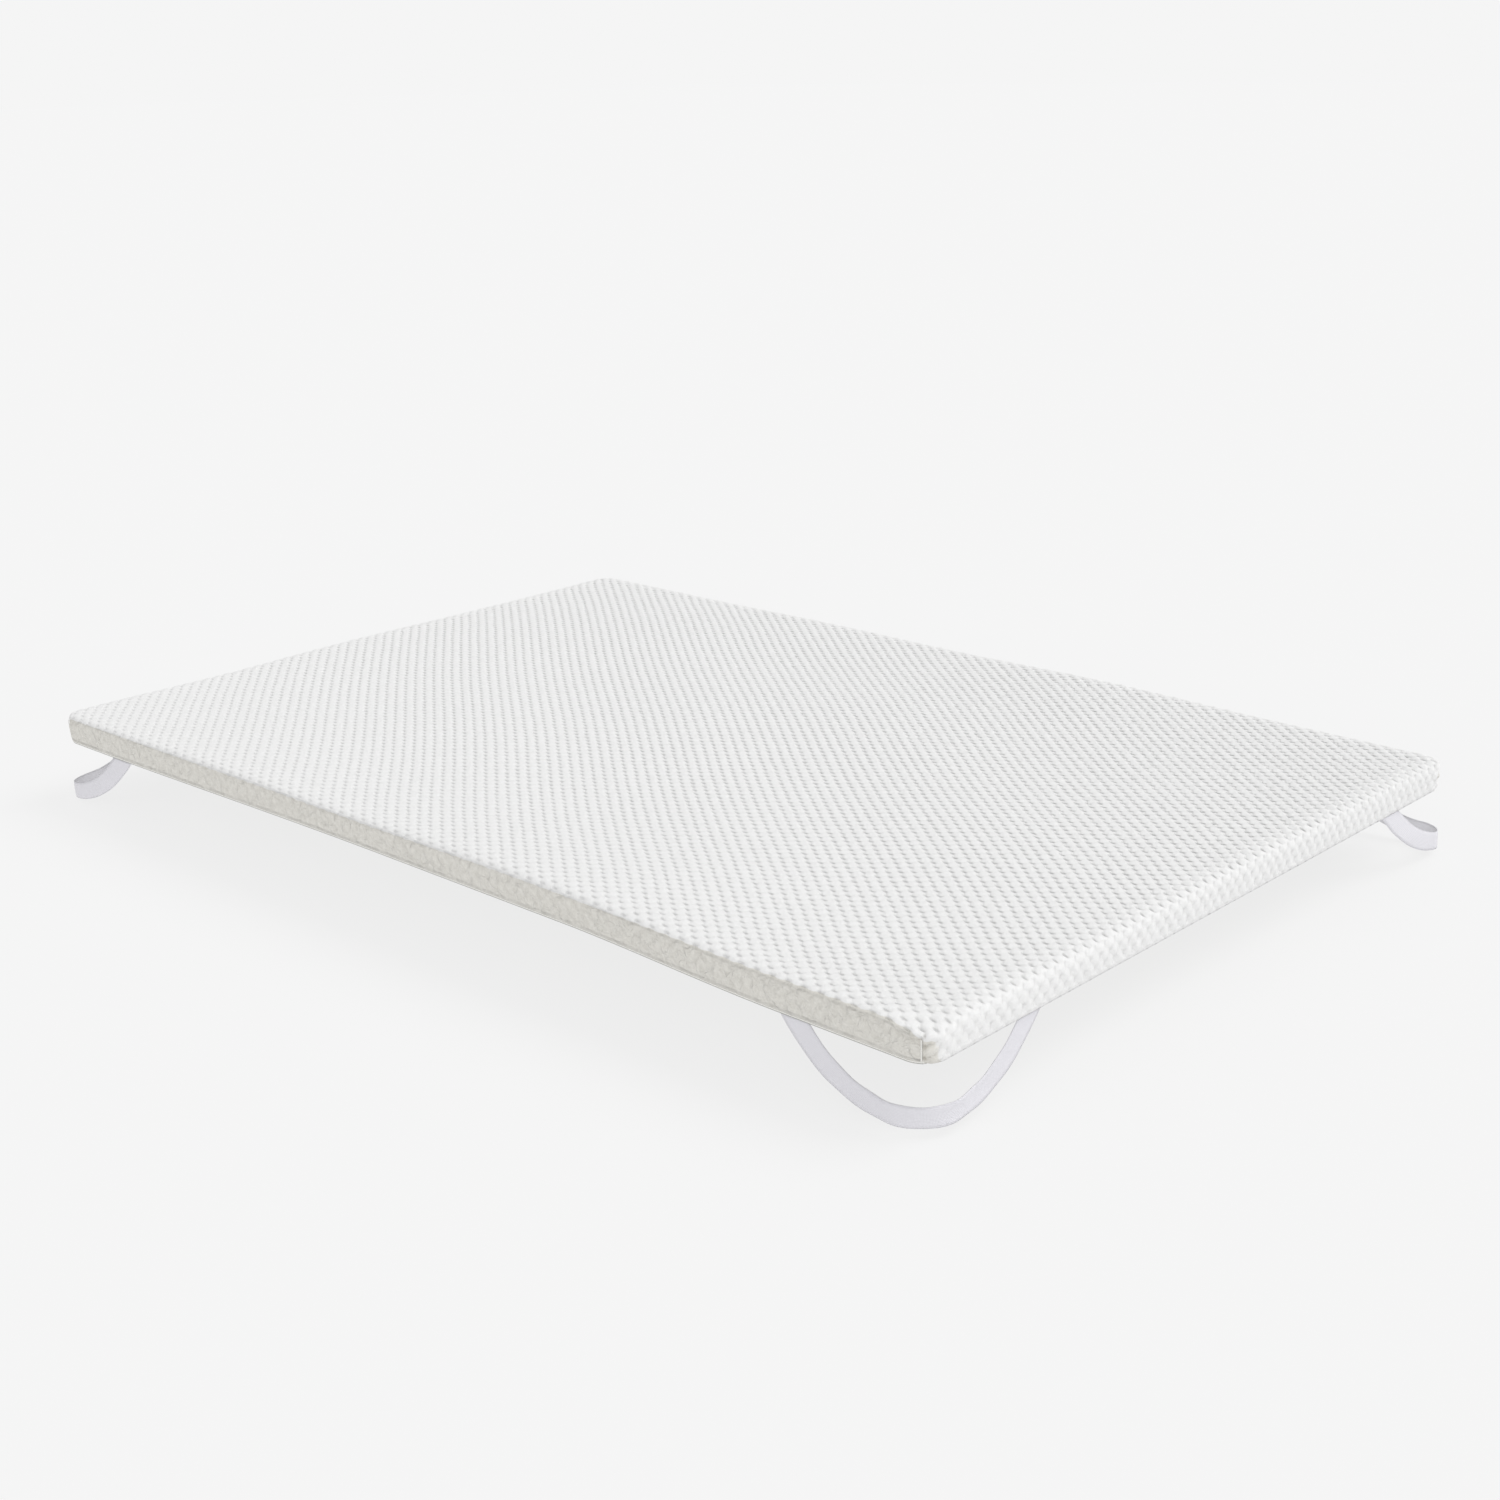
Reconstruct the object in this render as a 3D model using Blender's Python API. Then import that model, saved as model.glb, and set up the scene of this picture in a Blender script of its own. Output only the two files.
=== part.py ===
"""Mattress topper: a foam slab in a fitted knit cover on a plain base panel, with four elastic loops.

Metres, +Z up. The origin is the middle of the flat underside. +X runs across the width and +Y along
the length. Corners are named near (-X -Y), left (-X +Y), right (+X -Y) and far (+X +Y).
"""

import math

import bmesh
import bpy

# Slab, finished size for a full-size bed
WIDTH = 1.37
LENGTH = 2.03
THICKNESS = 0.0542  # underside of the base panel to the top, at the rim
CORNER_RADIUS = 0.035  # in plan
CROWN = 0.0025  # how much higher the middle of the top stands than its rim

# The long sides curl up a little between the corners, as a foam slab does
NEAR_CURL = 0.010
FAR_CURL = 0.004
CURL_START = 0.25  # flat this far from the -Y end
CURL_IN = 0.42  # then rises over this length
CURL_OUT = 0.95  # and falls back to flat over this length at the +Y end
FLAT_INSET = 0.30  # from the rim to the flat part of the underside
FLAT_RADIUS = 0.08  # plan corners of that flat part

# Base panel and the edging that runs round its seam with the cover
PANEL_THICKNESS = 0.0022
PANEL_OUT = -0.0005  # the panel's edge, outwards from the nominal rim
SEWN_GAP = 0.0003  # between pieces that touch
EDGING_RADIUS = 0.0011
EDGING_OUT = -0.0022
EDGING_HEIGHT = 0.0012  # its middle over the cover's foot

# Elastic loops
ELASTIC_THICKNESS = 0.0015
ELASTIC_SEAT = -0.004  # plan place of the sewn ends, outwards from the rim
LOOP_STEPS = 40

# Mesh steps along the width, the length and round each corner
WIDTH_STEPS = 20
LENGTH_STEPS = 28
CORNER_STEPS = 8
SEAM_STEP = 3  # the upright corner seam lies this many corner steps from the long side
SEAM_DEPTH = 0.0012

# The cover's side from foot to rim: outwards from the nominal rim, then the height over the foot
# in metres, or as a share of the whole height for the rows that have one
FOOT_ROWS = (
    {"out": -0.0050, "height": 0.0},
    {"out": -0.0042, "height": 0.0022},
    {"out": -0.0018, "height": 0.0042},
)
SIDE_ROWS = (
    {"out": 0.0008, "share": 0.16},
    {"out": 0.0022, "share": 0.30},
    {"out": 0.0026, "share": 0.48},
    {"out": 0.0018, "share": 0.66},
    {"out": -0.0006, "share": 0.81},
    {"out": -0.0046, "share": 0.920},
    {"out": -0.0100, "share": 0.975},
    {"out": -0.0190, "share": 0.998},
)

# Slow waves of the top: height, the two wavelengths and where the wave starts, in turns
WAVES = (
    {"height": 0.0012, "across": 1.10, "along": 0.90, "start": 0.15},
    {"height": 0.0009, "across": -0.62, "along": 1.45, "start": 0.60},
    {"height": 0.0006, "across": 0.48, "along": -0.55, "start": 0.35},
)

# Each loop: its corner, how far from that corner its upper and lower edges meet the seam along the
# long and the short side, its plan radius, how far out it stands at the corner, the sag of the two
# edges, and how flat the sag is at the bottom
LOOPS = (
    {"name": "near", "side_x": -1, "side_y": -1, "long_upper": 0.199, "long_lower": 0.248,
     "short_upper": 0.190, "short_lower": 0.238, "radius": 0.073, "out": -0.002,
     "sag_upper": 0.068, "sag_lower": 0.098, "flatness": 2.9},
    {"name": "left", "side_x": -1, "side_y": 1, "long_upper": 0.160, "long_lower": 0.218,
     "short_upper": 0.180, "short_lower": 0.234, "radius": 0.035, "out": 0.006,
     "sag_upper": 0.077, "sag_lower": 0.106, "flatness": 2.2},
    {"name": "right", "side_x": 1, "side_y": -1, "long_upper": 0.186, "long_lower": 0.240,
     "short_upper": 0.150, "short_lower": 0.204, "radius": 0.035, "out": 0.010,
     "sag_upper": 0.073, "sag_lower": 0.103, "flatness": 2.2},
    {"name": "far", "side_x": 1, "side_y": 1, "long_upper": 0.176, "long_lower": 0.228,
     "short_upper": 0.170, "short_lower": 0.222, "radius": 0.050, "out": 0.002,
     "sag_upper": 0.068, "sag_lower": 0.098, "flatness": 2.5},
)

COVER_FOOT = PANEL_THICKNESS + SEWN_GAP  # height of the cover's underside over the panel's


def clear_scene():
    for old in list(bpy.data.objects):
        bpy.data.objects.remove(old, do_unlink=True)


def material(name, colour, roughness):
    made = bpy.data.materials.new(name)
    made.use_nodes = True
    shader = made.node_tree.nodes["Principled BSDF"]
    shader.inputs["Base Color"].default_value = (*colour, 1.0)
    shader.inputs["Roughness"].default_value = roughness
    shader.inputs["Metallic"].default_value = 0.0
    return made


def smooth(t):
    """0 up to t = 0, 1 from t = 1, with soft ends."""
    t = min(max(t, 0.0), 1.0)
    return t * t * (3.0 - 2.0 * t)


def foot_rise(x, y):
    """How far the underside has curled up from its flat middle."""
    from_start = y + LENGTH / 2 - CURL_START
    along = smooth(from_start / CURL_IN) * smooth((LENGTH / 2 - y) / CURL_OUT)
    near = 1.0 - smooth((x + WIDTH / 2) / FLAT_INSET)
    far = 1.0 - smooth((WIDTH / 2 - x) / FLAT_INSET)
    return along * (NEAR_CURL * near + FAR_CURL * far)


def top_height(x, y):
    """The top's height over the flat underside."""
    crown = CROWN * max(0.0, 1.0 - (2 * x / WIDTH) ** 2) * max(0.0, 1.0 - (2 * y / LENGTH) ** 2)
    waves = 0.0
    for wave in WAVES:
        turns = x / wave["across"] + y / wave["along"] + wave["start"]
        waves += wave["height"] * math.sin(2 * math.pi * turns)
    return THICKNESS + crown + waves + foot_rise(x, y)


def outline(inset, radius, seam_depth=0.0):
    """Points of a rounded rectangle that lies inset from the nominal rim, counter-clockwise.

    Every outline has the same number of points, so that two of them bridge face by face. The
    corner seams draw their own points in by seam_depth.
    """
    half_x = WIDTH / 2 - inset - radius
    half_y = LENGTH / 2 - inset - radius
    corners = (
        {"middle": (half_x, half_y), "turns": 0.0, "from_long_side": True},
        {"middle": (-half_x, half_y), "turns": 0.25, "from_long_side": False},
        {"middle": (-half_x, -half_y), "turns": 0.5, "from_long_side": True},
        {"middle": (half_x, -half_y), "turns": 0.75, "from_long_side": False},
    )
    arcs = []
    for corner in corners:
        seam = SEAM_STEP if corner["from_long_side"] else CORNER_STEPS - SEAM_STEP
        arc = []
        for step in range(CORNER_STEPS + 1):
            angle = 2 * math.pi * (corner["turns"] + 0.25 * step / CORNER_STEPS)
            reach = radius - (seam_depth if step == seam else 0.0)
            x, y = corner["middle"]
            arc.append((x + reach * math.cos(angle), y + reach * math.sin(angle)))
        arcs.append(arc)
    points = []
    for number, arc in enumerate(arcs):
        steps = WIDTH_STEPS if corners[number]["from_long_side"] else LENGTH_STEPS
        (x0, y0), (x1, y1) = arc[-1], arcs[(number + 1) % 4][0]
        points += arc
        points += [(x0 + (x1 - x0) * k / steps, y0 + (y1 - y0) * k / steps) for k in range(1, steps)]
    return points


def ring(bm, points, height):
    """Vertices over an outline, at the height that a function gives for each point."""
    return [bm.verts.new((x, y, height(x, y))) for x, y in points]


def bridge(bm, lower, upper):
    """Quads between two rings; upper is the one further on over the outside."""
    count = len(lower)
    for i in range(count):
        j = (i + 1) % count
        bm.faces.new((lower[i], lower[j], upper[j], upper[i]))


def object_from(bm, name, finish):
    mesh = bpy.data.meshes.new(name)
    bm.to_mesh(mesh)
    bm.free()
    mesh.materials.append(finish)
    made = bpy.data.objects.new(name, mesh)
    bpy.context.scene.collection.objects.link(made)
    return made


def shade(made, angle):
    made.data.shade_smooth()
    made.data.set_sharp_from_angle(angle=math.radians(angle))


def underside_rings(bm, out, raised):
    """Rings from the flat middle of the underside out to its edge, raised over the underside."""
    def height(x, y):
        return foot_rise(x, y) + raised
    rings = [ring(bm, outline(FLAT_INSET, FLAT_RADIUS), height)]
    for share in (0.62, 0.30, 0.10):
        radius = CORNER_RADIUS + (FLAT_RADIUS - CORNER_RADIUS) * share
        rings.append(ring(bm, outline(FLAT_INSET * share, radius), height))
    rings.append(ring(bm, outline(-out, CORNER_RADIUS + out), height))
    return rings


def knit_cover(finish):
    """The filled slab in its cover: flat-based, crowned, with drawn-in sides and corner seams."""
    bm = bmesh.new()
    rings = underside_rings(bm, FOOT_ROWS[0]["out"], COVER_FOOT)
    bm.faces.new(list(reversed(rings[0])))
    for row in FOOT_ROWS[1:]:
        points = outline(-row["out"], CORNER_RADIUS + row["out"])
        rise = COVER_FOOT + row["height"]
        rings.append(ring(bm, points, lambda x, y, rise=rise: foot_rise(x, y) + rise))
    for row in SIDE_ROWS:
        points = outline(-row["out"], CORNER_RADIUS + row["out"], SEAM_DEPTH)
        def height(x, y, share=row["share"]):
            foot = foot_rise(x, y) + COVER_FOOT
            return foot + share * (top_height(x, y) - foot)
        rings.append(ring(bm, points, height))
    rings.append(ring(bm, outline(CORNER_RADIUS, 0.0), top_height))
    for lower, upper in zip(rings, rings[1:]):
        bridge(bm, lower, upper)
    grid = top_grid(bm)
    for i in range(WIDTH_STEPS):
        for j in range(LENGTH_STEPS):
            bm.faces.new((grid[i][j], grid[i + 1][j], grid[i + 1][j + 1], grid[i][j + 1]))
    bmesh.ops.remove_doubles(bm, verts=bm.verts, dist=0.00005)
    made = object_from(bm, "knit_cover", finish)
    shade(made, 50)
    return made


def top_grid(bm):
    """Vertices of the top inside the corner middles, in columns across the width."""
    half_x = WIDTH / 2 - CORNER_RADIUS
    half_y = LENGTH / 2 - CORNER_RADIUS
    columns = []
    for i in range(WIDTH_STEPS + 1):
        x = -half_x + 2 * half_x * i / WIDTH_STEPS
        rows = [-half_y + 2 * half_y * j / LENGTH_STEPS for j in range(LENGTH_STEPS + 1)]
        columns.append([bm.verts.new((x, y, top_height(x, y))) for y in rows])
    return columns


def base_panel(finish):
    """The plain cloth under the slab: one sheet, flat in the middle, curled up with the sides."""
    bm = bmesh.new()
    rings = underside_rings(bm, PANEL_OUT, 0.0)
    bm.faces.new(list(reversed(rings[0])))
    for inner, outer in zip(rings, rings[1:]):
        bridge(bm, inner, outer)
    made = object_from(bm, "base_panel", finish)
    thick = made.modifiers.new("cloth", "SOLIDIFY")
    thick.thickness = PANEL_THICKNESS
    thick.offset = -1.0
    return made


def seam_edging(finish):
    """The thin edging round the foot of the sides, over the panel's lip."""
    curve = bpy.data.curves.new("seam_edging", "CURVE")
    curve.dimensions = "3D"
    curve.bevel_depth = EDGING_RADIUS
    curve.bevel_resolution = 1
    points = outline(-EDGING_OUT, CORNER_RADIUS + EDGING_OUT)
    spline = curve.splines.new("POLY")
    spline.points.add(len(points) - 1)
    for point, (x, y) in zip(spline.points, points):
        point.co = (x, y, foot_rise(x, y) + COVER_FOOT + EDGING_HEIGHT, 1.0)
    spline.use_cyclic_u = True
    curve.materials.append(finish)
    made = bpy.data.objects.new("seam_edging", curve)
    bpy.context.scene.collection.objects.link(made)
    return made


def round_corner(along, long_reach, short_reach, radius):
    """A plan point and its outward direction on a corner, at a length along from the long side.

    The first coordinate counts from the long side inwards, the second from the short side, and
    the outward direction is negative in both.
    """
    straight = long_reach - radius
    arc = radius * math.pi / 2
    if along < straight:
        return (0.0, long_reach - along), (-1.0, 0.0)
    if along < straight + arc:
        angle = (along - straight) / radius
        toward = (-math.cos(angle), -math.sin(angle))
        return (radius * (1 + toward[0]), radius * (1 + toward[1])), toward
    return (radius + along - straight - arc, 0.0), (0.0, -1.0)


def loop_edge(loop, edge):
    """The points of a loop's upper or lower edge, from the long side round to the short side."""
    long_reach = loop["long_" + edge]
    short_reach = loop["short_" + edge]
    radius = loop["radius"]
    whole = long_reach + short_reach - 2 * radius + radius * math.pi / 2
    points = []
    for step in range(LOOP_STEPS + 1):
        part = step / LOOP_STEPS
        (across, along), (out_x, out_y) = round_corner(part * whole, long_reach, short_reach, radius)
        stand = ELASTIC_SEAT + (loop["out"] - ELASTIC_SEAT) * math.sin(math.pi * part)
        sag = loop["sag_" + edge] * (1.0 - abs(2 * part - 1) ** loop["flatness"])
        x = loop["side_x"] * (WIDTH / 2 - across - stand * out_x)
        y = loop["side_y"] * (LENGTH / 2 - along - stand * out_y)
        points.append((x, y, -SEWN_GAP - sag))
    return points


def elastic_loop(loop, finish):
    """One flat elastic band, caught in the seam on both sides of its corner and hanging between."""
    bm = bmesh.new()
    upper = [bm.verts.new(point) for point in loop_edge(loop, "upper")]
    lower = [bm.verts.new(point) for point in loop_edge(loop, "lower")]
    for i in range(LOOP_STEPS):
        bm.faces.new((upper[i], lower[i], lower[i + 1], upper[i + 1]))
    bmesh.ops.triangulate(bm, faces=bm.faces)
    made = object_from(bm, "elastic_loop_" + loop["name"], finish)
    thick = made.modifiers.new("band", "SOLIDIFY")
    thick.thickness = ELASTIC_THICKNESS
    thick.offset = 0.0
    thick.use_even_offset = True
    shade(made, 40)
    return made


def build():
    clear_scene()
    knit = material("white_jacquard_knit", (0.80, 0.80, 0.78), 0.90)
    plain = material("grey_base_cloth", (0.45, 0.46, 0.44), 0.85)
    tape = material("pale_edging", (0.68, 0.67, 0.62), 0.80)
    elastic = material("white_elastic", (0.74, 0.73, 0.80), 0.65)
    knit_cover(knit)
    base_panel(plain)
    seam_edging(tape)
    for loop in LOOPS:
        elastic_loop(loop, elastic)


build()
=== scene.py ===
"""Mattress topper, dressed: puffed knit cover, base panel, edging, corner seams and elastic loops.

Metres, +Z up, in the part's own frame. The origin is the middle of the flat underside, +X runs across
the width and +Y along the length. Corners are near (-X -Y), left (-X +Y), right (+X -Y), far (+X +Y).
"""

import math

import bmesh
import bpy
import numpy as np
from mathutils import Matrix, Vector


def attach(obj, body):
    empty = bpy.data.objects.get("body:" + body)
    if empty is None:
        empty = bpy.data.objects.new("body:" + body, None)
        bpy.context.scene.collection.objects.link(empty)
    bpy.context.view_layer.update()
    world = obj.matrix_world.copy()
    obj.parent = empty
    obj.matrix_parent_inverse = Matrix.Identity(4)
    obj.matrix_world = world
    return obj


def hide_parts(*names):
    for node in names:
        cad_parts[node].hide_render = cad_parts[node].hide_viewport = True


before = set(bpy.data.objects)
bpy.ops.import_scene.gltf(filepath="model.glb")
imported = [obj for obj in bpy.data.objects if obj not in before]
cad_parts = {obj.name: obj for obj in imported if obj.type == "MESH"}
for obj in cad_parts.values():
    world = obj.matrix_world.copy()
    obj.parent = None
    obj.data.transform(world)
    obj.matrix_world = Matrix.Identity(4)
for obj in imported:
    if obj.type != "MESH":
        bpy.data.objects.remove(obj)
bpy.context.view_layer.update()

# Slab, as in the solids
WIDTH = 1.37
LENGTH = 2.03
THICKNESS = 0.0542
CORNER_RADIUS = 0.035
CROWN = 0.0025
NEAR_CURL = 0.010
FAR_CURL = 0.004
CURL_START = 0.25
CURL_IN = 0.42
CURL_OUT = 0.95
FLAT_INSET = 0.30
FLAT_RADIUS = 0.08
PANEL_THICKNESS = 0.0022
PANEL_OUT = -0.0005
SEWN_GAP = 0.0003
COVER_FOOT = PANEL_THICKNESS + SEWN_GAP
HALF_X = WIDTH / 2 - CORNER_RADIUS  # the inner part of the top ends here
HALF_Y = LENGTH / 2 - CORNER_RADIUS
CORNERS = ((-1, -1), (-1, 1), (1, -1), (1, 1))  # signs of X and Y
WAVES = (
    {"height": 0.0012, "across": 1.10, "along": 0.90, "start": 0.15},
    {"height": 0.0009, "across": -0.62, "along": 1.45, "start": 0.60},
    {"height": 0.0006, "across": 0.48, "along": -0.55, "start": 0.35},
)

# Rings of the underside, from the rim in to its flat middle: how far in, and the corner's radius
INNER_RINGS = ((0.03, 0.0395), (0.09, 0.0485), (0.186, 0.0629), (FLAT_INSET, FLAT_RADIUS))
COVER_RING = (0.006, CORNER_RADIUS - 0.006)
PANEL_RING = (0.008, 0.036)
PANEL_STEPS = (108, 163, 10)  # along its short side, its long side and each corner

# The knit's cell holds two puffs, one at its corners and one in its middle. Halfway along each of
# its edges the two faces of the knit are tied together in a slit, and the puffs swell between.
CELLS_X = 57
CELLS_Y = 70
CELL_X = 2 * HALF_X / CELLS_X  # 22.8 mm
CELL_Y = 2 * HALF_Y / CELLS_Y  # 28.0 mm
STEPS = 4  # mesh steps to a cell
SLIT_LEAN = 0.12  # how far a slit leans across for its length
DRAWN_WIDE = 0.0021  # the mesh steps beside a slit are drawn in to this far from its middle, across
DRAWN_LONG = 0.0066  # and along the length
SWAY = (0.14, 0.10, 0.0)  # how far the pattern sways across and along, in cells
KNIT_SEED = 7
PUFFS = {"Puff height": 0.0015, "Slit depth": 0.0029, "Slit half width": 0.0020,
         "Slit half length": 0.0066, "Unevenness": 0.9, "Crumple": 0.0018, "Seed": KNIT_SEED}
# painted shade: the grey painted into each slit has this size
SLIT_PAINTED_SHADE = (0.0018, 0.0060)  # half width and half length of the dark in a slit
KNIT_VALUES = ("lift", "tied", "gather", "loose", "cream")  # what the mesh tells its tree and its finish

# How far the rows of puffs stray from straight lines: the reach, the two wavelengths and the start.
# They are straight again at the rim
ROW_WAVES = (
    {"reach": 0.0016, "across": 1.30, "along": 0.95, "start": 0.20},
    {"reach": 0.0011, "across": -0.74, "along": 1.20, "start": 0.55},
    {"reach": 0.0006, "across": 0.52, "along": -0.66, "start": 0.80},
)
ROW_SLOWER = 0.83  # the straying along the length
ROW_LATER = 1.0
ROW_STRAIGHTENS = 0.12

# The puffs stand highest towards the right corner and lie flatter towards the left one
PUFFS_STAND = 0.98
MORE_ACROSS = 0.32
LESS_ALONG = 0.15

# The cover's side, from the inner line of the top out and down to the foot: outwards from the
# nominal rim, then the height over the foot as a share of the whole
SIDE = (
    (-CORNER_RADIUS, 1.0), (-0.0270, 0.998), (-0.0180, 0.989), (-0.0105, 0.972), (-0.0052, 0.951),
    (-0.0016, 0.924), (0.0009, 0.882), (0.0023, 0.82), (0.0030, 0.73), (0.0031, 0.58), (0.0028, 0.44),
    (0.0022, 0.28), (0.0016, 0.16), (0.0013, 0.081), (0.0009, 0.03), (-0.0002, 0.0),
)
CURVE_STEPS = 24  # between two points of the side
SIDE_ROWS = 24
ROWS_DRAWN_IN = 3  # the rows over which the steps of the top's grid fade to even ones
CORNER_STEPS = 24
CORNER_STEP = math.pi / 2 * CORNER_RADIUS / CORNER_STEPS
KNIT_STEPS = (CELLS_X * STEPS, CELLS_Y * STEPS, CORNER_STEPS)
SEAM_STEP = 9  # the corner seam lies this many corner steps from the long side
SEAM_TO_SIDE = (CORNER_STEPS - SEAM_STEP) * CORNER_STEP  # from the seam round to the short side

# Pairs: where a change begins and over what length it comes about. These run along the cloth, from
# the inner line of the top over the rim and down
UPRIGHT = (0.030, 0.010)
RELIEF_CHANGES = (0.035, 0.010)
SLITS_END = 0.032

# What the knit does on the upright sides: how high the puffs stand, how much of the slits is lost and
# over what length, how loose the cloth is, and how much cream painted shade it takes
LONG_SIDE = {"stands": 0.26, "lost": 1.0, "lost over": 0.007, "loose": 1.8, "cream": 1.0}
SHORT_SIDE = {"stands": 0.9, "lost": 0.80, "lost over": 0.010, "loose": 0.3, "cream": 0.0}
FOOT_PLAIN = 0.02  # the knit is plain over this share of the height at the foot
FOOT_FADE = 0.10  # and its relief comes in over this one

# The near corner's top is drawn down
CORNER_DIP = 0.009
DIP_REACH = 0.075
DIP_SLOPE = 0.06

# Painted shade in cream begins on the long sides after this much cloth, at these places along the length,
# and later at the corner seams, beside which some shows on the short sides too, wider towards the foot
CREAM_ALONG = (-0.98, -0.80, -0.60, -0.40, 0.50, 0.75, 0.98)
CREAM_START = (0.0275, 0.0288, 0.0303, 0.0340, 0.0345, 0.0335, 0.0328)
CREAM_SOFT = 0.018
CORNER_WHITE = 0.008
CORNER_WHITE_REACH = 0.016
GATHERED_CREAM = {"start": 0.033, "over": 0.008, "reach": 0.007, "wider": 0.008, "sway": 0.002,
                  "turns": 9, "share": 0.24}

# Beside a corner seam the short side is gathered in a groove and slanting pleats, and the long side
# is drawn in under the rim
SEAM_FLAT = 0.008  # the puffs lie flat this near to a corner seam
GROOVE = {"depth": 0.0026, "apart": 0.0036, "width": 0.0024}
PLEATS = {"height": 0.0022, "up": 2.6, "pitch": 0.034, "start": 0.30, "full": 0.8, "sunk": 1.2,
          "begin": 0.005, "fade": (0.010, 0.028)}
TUCK = {"depth": 0.0018, "share": 0.70, "width": 0.16, "reach": 0.10}

# On the short sides the cover's foot comes down over the edging and the panel's rim, which lie
# this far in
SHORT_SIDES = (0.020, 0.010)  # they begin this far round the corner, as a pair
FOOT_LOW = 0.0004
RIM_IN = 0.0050

# Stitched seams, each an arched stitch repeated over a thin core: sizes in metres, the lean in radians
EDGING = {"Pitch": 0.0019, "Half span": 0.0011, "Rise": 0.0005, "Thread radius": 0.00042,
          "Core radius": 0.0009, "Lean": 0.30, "Seed": 3}
EDGING_OUT = -0.0004
EDGING_HEIGHT = 0.0025
EDGING_OVER_RIM = 0.0010
EDGING_DOWN = 0.0008  # on the short sides
CORNER_SEAM = {"Pitch": 0.0017, "Half span": 0.0013, "Rise": 0.0007, "Thread radius": 0.00040,
               "Core radius": 0.0008, "Lean": 0.15, "Seed": 5}
CORNER_SEAM_OUT = 0.0002
CORNER_SEAM_FROM = 0.05  # shares of the height
CORNER_SEAM_TO = 0.76

# Elastic loops, as in the solids, with the length of each band
BAND_WIDTH = 0.033
BAND_THICKNESS = 0.0015
BAND_SEAT = -0.004
BAND_STEPS = 120
BAND_ROWS = 6
BAND_BOW = 0.0007  # its edges wave in and out
BAND_BOWS = 7
BAND_BOW_START = 0.3
BAND_CUP = 0.0010  # and its middle stands out
LOOPS = (
    {"name": "near", "side_x": -1, "side_y": -1, "long_upper": 0.199, "long_lower": 0.248,
     "short_upper": 0.190, "short_lower": 0.238, "radius": 0.073, "out": -0.002,
     "sag_upper": 0.068, "sag_lower": 0.098, "flatness": 2.9, "length": 0.454},
    {"name": "left", "side_x": -1, "side_y": 1, "long_upper": 0.160, "long_lower": 0.218,
     "short_upper": 0.180, "short_lower": 0.234, "radius": 0.035, "out": 0.006,
     "sag_upper": 0.077, "sag_lower": 0.106, "flatness": 2.2, "length": 0.445},
    {"name": "right", "side_x": 1, "side_y": -1, "long_upper": 0.186, "long_lower": 0.240,
     "short_upper": 0.150, "short_lower": 0.204, "radius": 0.035, "out": 0.010,
     "sag_upper": 0.073, "sag_lower": 0.103, "flatness": 2.2, "length": 0.443},
    {"name": "far", "side_x": 1, "side_y": 1, "long_upper": 0.176, "long_lower": 0.228,
     "short_upper": 0.170, "short_lower": 0.222, "radius": 0.050, "out": 0.002,
     "sag_upper": 0.068, "sag_lower": 0.098, "flatness": 2.5, "length": 0.429},
)

# The photograph's view: millimetres of lens on a 36 mm frame, degrees of yaw, pitch and roll, and place
LENS = 50.89
FRAME_WIDTH = 36.0
VIEW_TURN = (46.52, 18.27, -1.11)
VIEW_FROM = (-2.5243, -2.4697, 1.1869)

# The room's light and its wall as seen, and two broad lights: name, strength, direction and breadth
ROOM_LIGHT = 0.624
WALL_LIGHT = 0.913
LIGHTS = (("window_light", 1.30, (0.50, -0.40, 0.75)), ("fill", 0.60, (-0.7, -0.5, 0.45)))
LIGHT_BREADTH = 40
FLOOR_SIZE = 120.0
FLOOR_LEVEL = -0.113

# Kinds of node that are used often
MATH = "ShaderNodeMath"
VECTOR = "ShaderNodeVectorMath"
SPLIT = "ShaderNodeSeparateXYZ"
COMBINE = "ShaderNodeCombineXYZ"
NOISE = "ShaderNodeTexNoise"
RANGE = "ShaderNodeMapRange"
NAMED = "GeometryNodeInputNamedAttribute"
ALIGN = "FunctionNodeAlignRotationToVector"


# ---- Small helpers ----

def linear(code):
    """A hex sRGB colour as linear RGBA."""
    parts = [int(code[i:i + 2], 16) / 255 for i in (1, 3, 5)]
    return tuple(p / 12.92 if p <= 0.04045 else ((p + 0.055) / 1.055) ** 2.4 for p in parts) + (1.0,)


def add(tree, kind, links=(), operation=None, **settings):
    """One node with its settings. Links go by the order, name or number of its sockets, and each is a
    value, an output, or another node for its first output."""
    node = tree.nodes.new(kind)
    if operation:
        node.operation = operation
    for name, value in settings.items():
        setattr(node, name, value)
    for socket, value in links.items() if isinstance(links, dict) else enumerate(links):
        if isinstance(value, bpy.types.Node):
            value = value.outputs[0]
        if isinstance(value, bpy.types.NodeSocket):
            tree.links.new(value, node.inputs[socket])
        else:
            node.inputs[socket].default_value = value
    return node


def new_tree(name, inputs):
    """A geometry tree with its named inputs, which start at the numbers given, and its input node."""
    tree = bpy.data.node_groups.new(name, "GeometryNodeTree")
    for in_out in ("INPUT", "OUTPUT"):
        tree.interface.new_socket("Geometry", in_out=in_out, socket_type="NodeSocketGeometry")
    for label, value in inputs.items():
        kind = "NodeSocketInt" if isinstance(value, int) else "NodeSocketFloat"
        tree.interface.new_socket(label, in_out="INPUT", socket_type=kind).default_value = value
    return tree, add(tree, "NodeGroupInput")


def end_tree(tree, shape, finish):
    """Ends a geometry tree with its shape made real and given its finish."""
    real = add(tree, "GeometryNodeRealizeInstances", [shape])
    done = add(tree, "GeometryNodeSetMaterial", {"Geometry": real, "Material": finish})
    add(tree, "NodeGroupOutput", [done])
    return tree


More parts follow.
